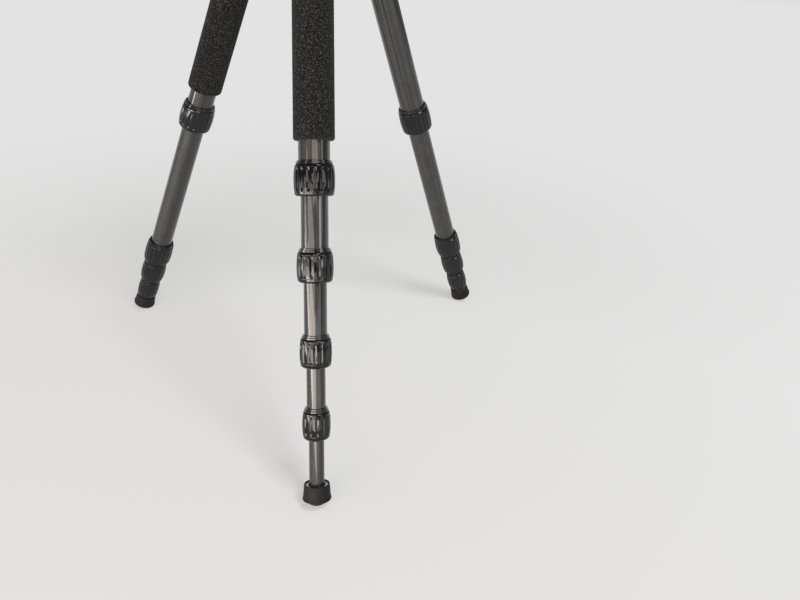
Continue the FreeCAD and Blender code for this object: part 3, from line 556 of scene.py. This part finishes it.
def twist_ring(build, top, bottom, bulge, rise, bore, bore_end, lip, count, phase):
    """Fluted barrel with a bore for the thread, and a lip that meets the tube below."""
    upper, lower = top - RING_TOP_CHAMFER, bottom + RING_BOTTOM_CHAMFER
    middle, half = (upper + lower) / 2, (upper - lower) / 2
    curve = (half ** 2 + rise ** 2) / (2 * rise)
    half_width = FLUTE_SHARE * math.pi * bulge / count
    taper = FLUTE_POINT * half_width
    first = upper - FLUTE_TOP_MARGIN - taper
    last = lower + FLUTE_BOTTOM_MARGIN + taper
    shoulder = bulge - rise

    def row(height, radius=None):
        """One ring of points: plain at a given radius, or on the fluted barrel."""
        surface = radius or bulge - curve + math.sqrt(curve ** 2 - (height - middle) ** 2)
        beyond = max(0.0, height - first, last - height) / taper
        opened = 0.0 if radius else math.sqrt(max(0.0, 1 - beyond ** 2))
        width = half_width / bulge * (opened or 1.0)
        places = [(across * width, flute_bowl(across)) for across in ACROSS_FLUTE] + [(math.pi / count, 0.0)]
        points = []
        for number in range(count):
            for turn, bowl in places:
                angle = 2 * math.pi * number / count + turn + phase
                reach = surface - FLUTE_DEPTH * opened ** 2 * bowl
                points.append(Vector((reach * math.cos(angle), reach * math.sin(angle), height)))
        return points

    heights = [first + taper * share for share in FLUTE_END]
    heights += [first + (last - first) * step / (MIDDLE_ROWS + 1) for step in range(1, MIDDLE_ROWS + 1)]
    heights += [last - taper * share for share in reversed(FLUTE_END)]
    over = eased([(bore, top), (shoulder - RING_TOP_CHAMFER, top), (shoulder, upper),
                  (shoulder + SHOULDER_STEP, upper - SHOULDER_RUN)], RING_EDGE, closed=False)
    under = eased([(shoulder + SHOULDER_STEP, lower + SHOULDER_RUN), (shoulder, lower),
                   (shoulder - RING_BOTTOM_CHAMFER, bottom), (lip, bottom), (lip, bore_end), (bore, bore_end)],
                  RING_EDGE, closed=False)
    rows = [row(height, radius) for radius, height in over[:-1]]
    rows += [row(height) for height in heights]
    rows += [row(height, radius) for radius, height in under[1:]]
    skin(build, rows)


# %% Twist rings on the legs
RING_RISE = 0.85 * MM
FLUTE_COUNTS = {1: 18, 2: 16, 3: 16, 4: 14}
FLUTE_PHASES = {1: 0.8, 2: 9.2, 3: -4.5, 4: 0.9}
RING_BORE = 1.68 * MM
RING_BORE_DEPTH = 19.0 * MM
RING_LIP = 0.4 * MM
RING_SHARP = 50.0
for leg in LEGS:
    for lock in LOCKS:
        node = "%s_lock_ring_%d" % (leg, lock)
        top, bottom, bulge = span(node, leg_frames[leg])
        build = bmesh.new()
        twist_ring(build, top, bottom, bulge, RING_RISE, tube_radius[lock] + RING_BORE, top - RING_BORE_DEPTH,
                   tube_radius[lock + 1] + RING_LIP, FLUTE_COUNTS[lock], math.radians(FLUTE_PHASES[lock]))
        piece = dress(place_mesh("%s_twist_ring_%d" % (leg, lock), build, leg_frames[leg], RING_SHARP), node)
        coat(piece, node)
    print(leg, "lowest ring:", round((top - bottom) / MM, 1), "mm tall,", len(piece.data.polygons), "faces")

# %% [markdown]
# ## Rubber feet
#
# A foot is a rubber cup, pressed over a turned ring on the last tube. It flares to a
# lip, and below the lip a cone ends in a ball, so that the leg can stand at any
# angle. The rim and the lip are rounded as a mould leaves them.

# %% Feet
FOOT_HEIGHT = 13.6 * MM
FOOT_LIP_HEIGHT = 1.8 * MM
FOOT_LIP_STEP = 0.35 * MM
FOOT_TOP_RADIUS = 11.3 * MM
FOOT_BORE = 10.3 * MM
FOOT_BORE_DEPTH = 11.05 * MM
CONE_SLOPE = math.radians(32)
TIP_RADIUS = 11.0 * MM
TIP_STEPS = 12
FOOT_SIDES = 112


def foot(name, node, matrix):
    top, bottom, lip_radius = span(node, matrix)
    lip = top - FOOT_HEIGHT
    centre = bottom + TIP_RADIUS
    tip = [(TIP_RADIUS * math.sin(CONE_SLOPE * step / TIP_STEPS),
            centre - TIP_RADIUS * math.cos(CONE_SLOPE * step / TIP_STEPS)) for step in range(TIP_STEPS, -1, -1)]
    cup = eased([(FOOT_BORE, top, 0.3 * MM), (FOOT_TOP_RADIUS, top, 0.6 * MM),
                 (lip_radius - FOOT_LIP_STEP, lip + FOOT_LIP_HEIGHT, 0.3 * MM),
                 (lip_radius, lip + FOOT_LIP_HEIGHT, 0.3 * MM), (lip_radius, lip, 0.7 * MM), tip[0]],
                0.3 * MM, closed=False)
    outline = cup[:-1] + tip + [(0.0, top - FOOT_BORE_DEPTH), (FOOT_BORE, top - FOOT_BORE_DEPTH)]
    piece = dress(lathe(name, outline, matrix, FOOT_SIDES), node)
    coat(piece, node)
    return top - bottom


for leg in LEGS:
    print(leg, "foot:", round(foot(leg + "_rubber_foot", leg + "_foot", leg_frames[leg]) / MM, 1), "mm tall")

# %% [markdown]
# ## Foam sleeves
#
# The sleeve is pushed over the tube, so it is never quite true: it swells and dips
# by a tenth of a millimetre, and its ends are rounded where the grinding wheel ran
# off. The larger pits are real dents here, because a bump map alone would leave the
# outline of the sleeve as smooth as paint. The sleeve is one skin, shaded smooth all
# over, and each of its points is moved inwards by two noises: one for the pits and a
# slow one for the swell.

# %% Foam grips
FOAM_WALL = 4.3 * MM
FOAM_ROUND = 2.5 * MM
FOAM_PITCH = 0.9 * MM
FOAM_PIT = 0.16 * MM
PIT_WIDTH = 0.81 * MM
FOAM_SWELL = 0.12 * MM
SWELL_LENGTH = 22 * MM
FOAM_SIDES = 132
ROUND_STEPS = 8
ALL_SMOOTH = 180.0


def foam_sleeve(name, node, matrix):
    top, bottom, outer = span(node, matrix)
    inner = outer - FOAM_WALL
    end = [(outer - FOAM_ROUND * (1 - math.sin(turn)), FOAM_ROUND * (1 - math.cos(turn)))
           for turn in [math.pi / 2 * step / ROUND_STEPS for step in range(ROUND_STEPS + 1)]]
    rows = round((top - bottom - 2 * FOAM_ROUND) / FOAM_PITCH)
    wall = [(outer, top - FOAM_ROUND - (top - bottom - 2 * FOAM_ROUND) * step / rows) for step in range(1, rows)]
    outline = [(radius, top - height) for radius, height in end] + wall
    outline += [(radius, bottom + height) for radius, height in reversed(end)]
    outline += [(inner, bottom), (inner, top)]
    build = bmesh.new()
    skin(build, [circle(radius, height, FOAM_SIDES) for radius, height in outline])
    for vertex in build.verts:
        away = Vector((vertex.co.x, vertex.co.y, 0))
        if away.length < inner + FOAM_ROUND / 2:
            continue
        pit = noise.noise(vertex.co / PIT_WIDTH)
        swell = noise.noise(vertex.co / SWELL_LENGTH)
        vertex.co -= away.normalized() * (FOAM_PIT * (0.5 + 0.5 * pit) + FOAM_SWELL * (0.5 + 0.5 * swell))
    piece = dress(place_mesh(name, build, matrix, ALL_SMOOTH), node)
    coat(piece, node)
    return rows


for leg in FOAM_LEGS:
    print(leg, "foam rows:", foam_sleeve(leg + "_foam_sleeve", leg + "_foam_grip", leg_frames[leg]))

# %% [markdown]
# ## Castings and fittings
#
# The castings and small fittings are right as they come, but for their edges. A
# casting has a fillet wherever two faces meet, and even a milled part is deburred.
# So each gets a copy of the CAD solid with its flat faces merged, and a bevel on
# every edge that turns by more than 30 degrees. The bevel is a modifier, so its
# width stays one number per piece.

# %% Softened copies
EDGE_ANGLE = math.radians(30)
FLAT_ANGLE = math.radians(0.6)
CAD_WELD = 1e-6


def softened(name, node, width):
    """Copy of a CAD node with rounded edges, which stands for it."""
    build = bmesh.new()
    build.from_mesh(frame["nodes"][node].data)
    bmesh.ops.remove_doubles(build, verts=build.verts, dist=CAD_WELD)
    bmesh.ops.dissolve_limit(build, angle_limit=FLAT_ANGLE, verts=build.verts, edges=build.edges)
    mesh = bpy.data.meshes.new(name)
    build.to_mesh(mesh)
    build.free()
    custom = mesh.attributes.get("custom_normal")
    if custom:
        mesh.attributes.remove(custom)
    mesh.shade_smooth()
    mesh.set_sharp_from_angle(angle=EDGE_ANGLE)
    piece = bpy.data.objects.new(name, mesh)
    bpy.context.scene.collection.objects.link(piece)
    edge = piece.modifiers.new("edge", "BEVEL")
    edge.width = width
    edge.segments = 3
    edge.limit_method = "ANGLE"
    edge.angle_limit = EDGE_ANGLE
    edge.miter_outer = "MITER_ARC"
    even = piece.modifiers.new("even", "WEIGHTED_NORMAL")
    even.keep_sharp = True
    dress(piece, node)
    coat(piece, node)
    return piece


softened("spider_casting", "spider", 0.7 * MM)
softened("pivot_bolt_set", "pivot_bolts", 0.25 * MM)
softened("camera_plate", "top_plate", 0.3 * MM)
softened("ballast_hook_casting", "column_hook", 0.5 * MM)
for leg in LEGS:
    softened(leg + "_leg_casting", leg + "_yoke", 0.7 * MM)
    softened(leg + "_stop_key", leg + "_angle_stop", 0.35 * MM)
    for section in SECTIONS:
        softened("%s_turned_set_%d" % (leg, section), "%s_fittings_%d" % (leg, section), 0.3 * MM)

# %% [markdown]
# ## Column lock and camera stud
#
# The column's ring is the same moulding as the leg rings, upside down and with
# twenty flutes, round a split bush that squeezes the column. The stud carries a
# 3/8 inch thread: sixteen turns to the inch, cut 0.9 mm deep. The CAD solid has its
# full diameter, and here the thread is cut into it, by pulling each point of a fine
# cylinder inwards as the helix passes.

# %% Column lock
COLUMN_RISE = 0.9 * MM
COLUMN_COUNT = 20
COLUMN_RING_HEIGHT = 24.0 * MM
COLUMN_BORE = 17.58 * MM
COLUMN_BORE_END = 5.8 * MM
COLUMN_LIP = 12.9 * MM
BUSH_TOP = 6.4 * MM
BUSH_BORE = 12.55 * MM
BUSH_RADIUS = 15.4 * MM
BUSH_SLIT = 2.0 * MM
BUSH_STEPS = 72
upside_down = Matrix.Rotation(math.pi, 4, "X")


def split_bush(build, top, bottom):
    """Sleeve round the column with one slit, which closes when the ring squeezes it."""
    half = math.asin(BUSH_SLIT / 2 / BUSH_RADIUS)
    corners = ((BUSH_BORE, top), (BUSH_RADIUS, top), (BUSH_RADIUS, bottom), (BUSH_BORE, bottom))
    angles = [half + (2 * math.pi - 2 * half) * step / BUSH_STEPS for step in range(BUSH_STEPS + 1)]
    grid = [[build.verts.new((radius * math.cos(angle), radius * math.sin(angle), height))
             for radius, height in corners] for angle in angles]
    for one, two in zip(grid, grid[1:]):
        for place in range(4):
            following = (place + 1) % 4
            build.faces.new((one[place], one[following], two[following], two[place]))
    build.faces.new(grid[0])
    build.faces.new(grid[-1])


top, bottom, bulge = span("column_lock", upside_down)
build = bmesh.new()
twist_ring(build, bottom + COLUMN_RING_HEIGHT, bottom, bulge, COLUMN_RISE, COLUMN_BORE, bottom + COLUMN_BORE_END,
           COLUMN_LIP, COLUMN_COUNT, 0.0)
split_bush(build, top, bottom + BUSH_TOP)
column_ring = dress(place_mesh("column_twist_ring", build, upside_down, RING_SHARP), "column_lock")
coat(column_ring, "column_lock")
print("column ring:", round(2 * bulge / MM, 1), "mm across,", len(column_ring.data.polygons), "faces")

# %% Camera stud
THREAD_PITCH = 25.4 / 16 * MM
THREAD_DEPTH = 0.9 * MM
THREAD_CREST = 0.125
THREAD_ROOT = 0.25
THREAD_ROWS = 12
THREAD_SIDES = 48
THREAD_SHARP = 40.0
CENTRE_FLAT = 0.4 * MM
STUD_CHAMFER = 0.9 * MM
STUD_ROOT = 4.0 * MM


def thread_cut(height, angle):
    """Depth of the thread: a crest of one eighth of the pitch and a root of a quarter."""
    phase = (height / THREAD_PITCH - angle / (2 * math.pi)) % 1.0
    flank = (1 - abs(2 * phase - 1) - THREAD_CREST) / (1 - THREAD_CREST - THREAD_ROOT)
    return THREAD_DEPTH * min(1.0, max(0.0, flank))


top, bottom, radius = span("camera_stud", upright)
rows = [circle(0.0, top, THREAD_SIDES), circle(radius - THREAD_DEPTH - CENTRE_FLAT, top, THREAD_SIDES)]
count = round(top / THREAD_PITCH * THREAD_ROWS)
for step in range(count, -1, -1):
    height = top * step / count
    limit = radius - max(0.0, STUD_CHAMFER - (top - height))
    row = []
    for side in range(THREAD_SIDES):
        angle = 2 * math.pi * side / THREAD_SIDES
        reach = min(limit, radius - thread_cut(height, angle))
        row.append(Vector((reach * math.cos(angle), reach * math.sin(angle), height)))
    rows.append(row)
rows += [circle(STUD_ROOT, 0.0, THREAD_SIDES), circle(STUD_ROOT, bottom, THREAD_SIDES),
         circle(0.0, bottom, THREAD_SIDES)]
build = bmesh.new()
skin(build, rows)
stud = dress(place_mesh("threaded_stud", build, upright, THREAD_SHARP), "camera_stud")
coat(stud, "camera_stud")
print("stud thread:", round(top / THREAD_PITCH, 1), "turns above the plate")

# %% [markdown]
# ## Paper floor
#
# A pale, even background should come from the colour of the paper and not from more
# light, which would bleach the object. The floor mixes two shaders, for the camera and
# in reflections: a plain tone that no lamp changes, and white paper that takes the
# lamps and so keeps the soft shadows. The paper has over half of the mix round the
# feet, and none from 1.25 m outwards, where the lamps stand. The lit paper is brighter
# on the side of the lamps, so the plain tone is darker there, which evens the sum. Far
# off the paper greys to the tone of the world round it, so that there is no edge.

# %% Floor and world
PAPER = "#e3e3e3"
NEAR_PAPER = "#ffffff"
FRONT_PAPER = "#ebebeb"
LIT_PAPER = "#dcdcdc"
FAR_TONE = "#828282"
PLAIN_SHARE = 0.44
LAMP_SIDE = (-0.3, -1.3, 0.0)
FRONT = (1.0, 1.46)
AROUND = (0.35, 1.25)
FAR = (5.8, 22.0)
FLOOR_RADIUS = 30.0
FLOOR_SIDES = 96
floor_height = cad_low.z


def paper():
    material, tree = blank_material("white_studio_paper")
    path = add(tree, "LightPath")
    seen = add(tree, "Math", {0: path.outputs["Is Camera Ray"], 1: path.outputs["Is Glossy Ray"]}, operation="ADD")
    seen = add(tree, "Math", {0: seen.outputs[0], 1: path.outputs["Is Transmission Ray"]}, operation="ADD",
               use_clamp=True)
    place = add(tree, "TexCoord").outputs["Object"]
    reach = add(tree, "VectorMath", {0: place}, operation="LENGTH").outputs["Value"]
    from_lamps = add(tree, "VectorMath", {0: place, 1: LAMP_SIDE}, operation="DISTANCE").outputs["Value"]
    front = add(tree, "MapRange", {"Value": from_lamps, "From Min": FRONT[0], "From Max": FRONT[1]})
    around = add(tree, "MapRange", {"Value": reach, "From Min": AROUND[0], "From Max": AROUND[1]},
                 interpolation_type="SMOOTHSTEP").outputs["Result"]
    far = add(tree, "MapRange", {"Value": reach, "From Min": FAR[0], "From Max": FAR[1]})
    near_tone = add(tree, "ValToRGB", {"Fac": front.outputs["Result"]}, ((0.0, FRONT_PAPER), (1.0, NEAR_PAPER)))
    far_tone = add(tree, "ValToRGB", {"Fac": far.outputs["Result"]}, ((0.0, PAPER), (1.0, FAR_TONE)))
    tone = add(tree, "Mix", {"Factor": around, 6: near_tone.outputs["Color"], 7: far_tone.outputs["Color"]},
               data_type="RGBA")
    near_share = add(tree, "MapRange", {"Value": around, "To Min": PLAIN_SHARE, "To Max": 1.0})
    share = add(tree, "Math", {0: near_share.outputs["Result"], 1: seen.outputs[0]}, operation="MULTIPLY")
    lit = add(tree, "BsdfDiffuse", {"Color": linear(LIT_PAPER)})
    plain = add(tree, "Emission", {"Color": tone.outputs[2], "Strength": 1.0})
    mixed = add(tree, "MixShader", {0: share.outputs[0], 1: lit.outputs["BSDF"], 2: plain.outputs["Emission"]})
    add(tree, "OutputMaterial", {"Surface": mixed.outputs["Shader"]})
    return material


build = bmesh.new()
bmesh.ops.create_circle(build, cap_ends=True, segments=FLOOR_SIDES, radius=FLOOR_RADIUS)
mesh = bpy.data.meshes.new("paper_floor")
build.to_mesh(mesh)
build.free()
floor = bpy.data.objects.new("paper_floor", mesh)
floor.location = (0.0, 0.0, floor_height)
mesh.materials.append(paper())
bpy.context.scene.collection.objects.link(floor)

world = bpy.data.worlds.new("studio")
world.use_nodes = True
world.node_tree.nodes.clear()
sky = add(world.node_tree, "Background", {"Color": linear(FAR_TONE), "Strength": 1.0})
add(world.node_tree, "OutputWorld", {"Surface": sky.outputs["Background"]})
bpy.context.scene.world = world
bpy.context.scene.view_settings.view_transform = "Standard"
print("floor at", round(floor_height / MM, 2), "mm")

# %% [markdown]
# ## Camera and lamps
#
# The camera was solved from measured points of the photograph: 717 pixels of focal
# length on a frame 800 wide, with the optical axis above the middle of the frame,
# which the shift takes up. On a glossy tube a lamp is a stripe. A stripe's place
# tells the lamp's bearing, because the tube turns a reflection twice as far as its
# surface turns, so each softbox is placed by bearing and elevation as the front leg
# sees them. Its power follows from the level it should have, times pi and its area.
# The key lamps make the broad warm stripe at the left of every tube, and the two wings
# carry it round the edge. The strip and side lamps make the narrow cool stripes at the
# right. The overhead lamp is small and strong, and throws the shadows under the feet.

# %% Camera
FRAME_WIDTH = 800
FOCAL_PIXELS = 717.33
SHIFT_PIXELS = -80
CAMERA_PLACE = (-0.01921, -0.73738, -0.10024)
HEADING = math.radians(9.24)
TILT_DOWN = math.radians(22.61)
LEAN = math.radians(3.034)
camera_data = bpy.data.cameras.new("portrait")
camera_data.sensor_width = 36.0
camera_data.lens = FOCAL_PIXELS / FRAME_WIDTH * camera_data.sensor_width
camera_data.shift_y = SHIFT_PIXELS / FRAME_WIDTH
camera = bpy.data.objects.new("portrait", camera_data)
turn = Matrix.Rotation(-HEADING, 4, "Z") @ Matrix.Rotation(math.pi / 2 - TILT_DOWN, 4, "X")
camera.matrix_world = Matrix.Translation(CAMERA_PLACE) @ turn @ Matrix.Rotation(LEAN, 4, "Z")
bpy.context.scene.collection.objects.link(camera)
bpy.context.scene.camera = camera

# %% Lamps
TARGET = Vector((0.0, -0.18, -0.33))


def softbox(name, bearing, elevation, distance, wide, high, level, tint):
    """Rectangular lamp, placed by its angles as the front leg sees them, from straight ahead."""
    swing = math.radians(bearing) - math.pi / 2
    rise = math.radians(elevation)
    away = Vector((math.cos(swing) * math.cos(rise), math.sin(swing) * math.cos(rise), math.sin(rise)))
    lamp = bpy.data.lights.new(name, "AREA")
    lamp.shape = "RECTANGLE"
    lamp.color = linear(tint)[:3]
    lamp.size = 2 * distance * math.tan(math.radians(wide / 2))
    lamp.size_y = 2 * distance * math.tan(math.radians(high / 2))
    lamp.energy = level * math.pi * lamp.size * lamp.size_y
    box = bpy.data.objects.new(name, lamp)
    box.location = TARGET + away * distance
    box.rotation_euler = away.to_track_quat("Z", "Y").to_euler()
    box.visible_camera = False
    bpy.context.scene.collection.objects.link(box)
    print(name, round(lamp.size, 2), "by", round(lamp.size_y, 2), "m,", round(lamp.energy, 1), "W")


# Name, bearing, elevation, distance in metres, degrees wide and high, level, tint.
LAMPS = (
    ("key_softbox", -33, -1.0, 1.3, 52, 18.5, 8.0, "#fff5ec"),
    ("key_upper", -35, 14.0, 1.3, 54, 10, 2.9, "#fff5ec"),
    ("key_wing", -76, -3.5, 1.3, 32, 14, 4.0, "#fff8f2"),
    ("low_wing", -66, -6.5, 1.3, 50, 7, 7.0, "#fff5ec"),
    ("front_softbox", 3, 26, 1.6, 38, 10, 3.2, "#fff5ec"),
    ("strip_softbox", 45, 12.5, 1.5, 15, 9, 6.5, "#f0f3ff"),
    ("side_softbox", 61, 12.5, 1.5, 11, 14, 2.6, "#f0f3ff"),
    ("edge_softbox", 1, -0.7, 1.5, 15, 18.5, 2.5, "#fffaf5"),
    ("low_softbox", 30, -1, 1.5, 40, 16, 1.4, "#fffaf5"),
    ("overhead_softbox", 42, 58, 2.2, 20, 20, 14.0, "#ffffff"),
)
for lamp in LAMPS:
    softbox(*lamp)
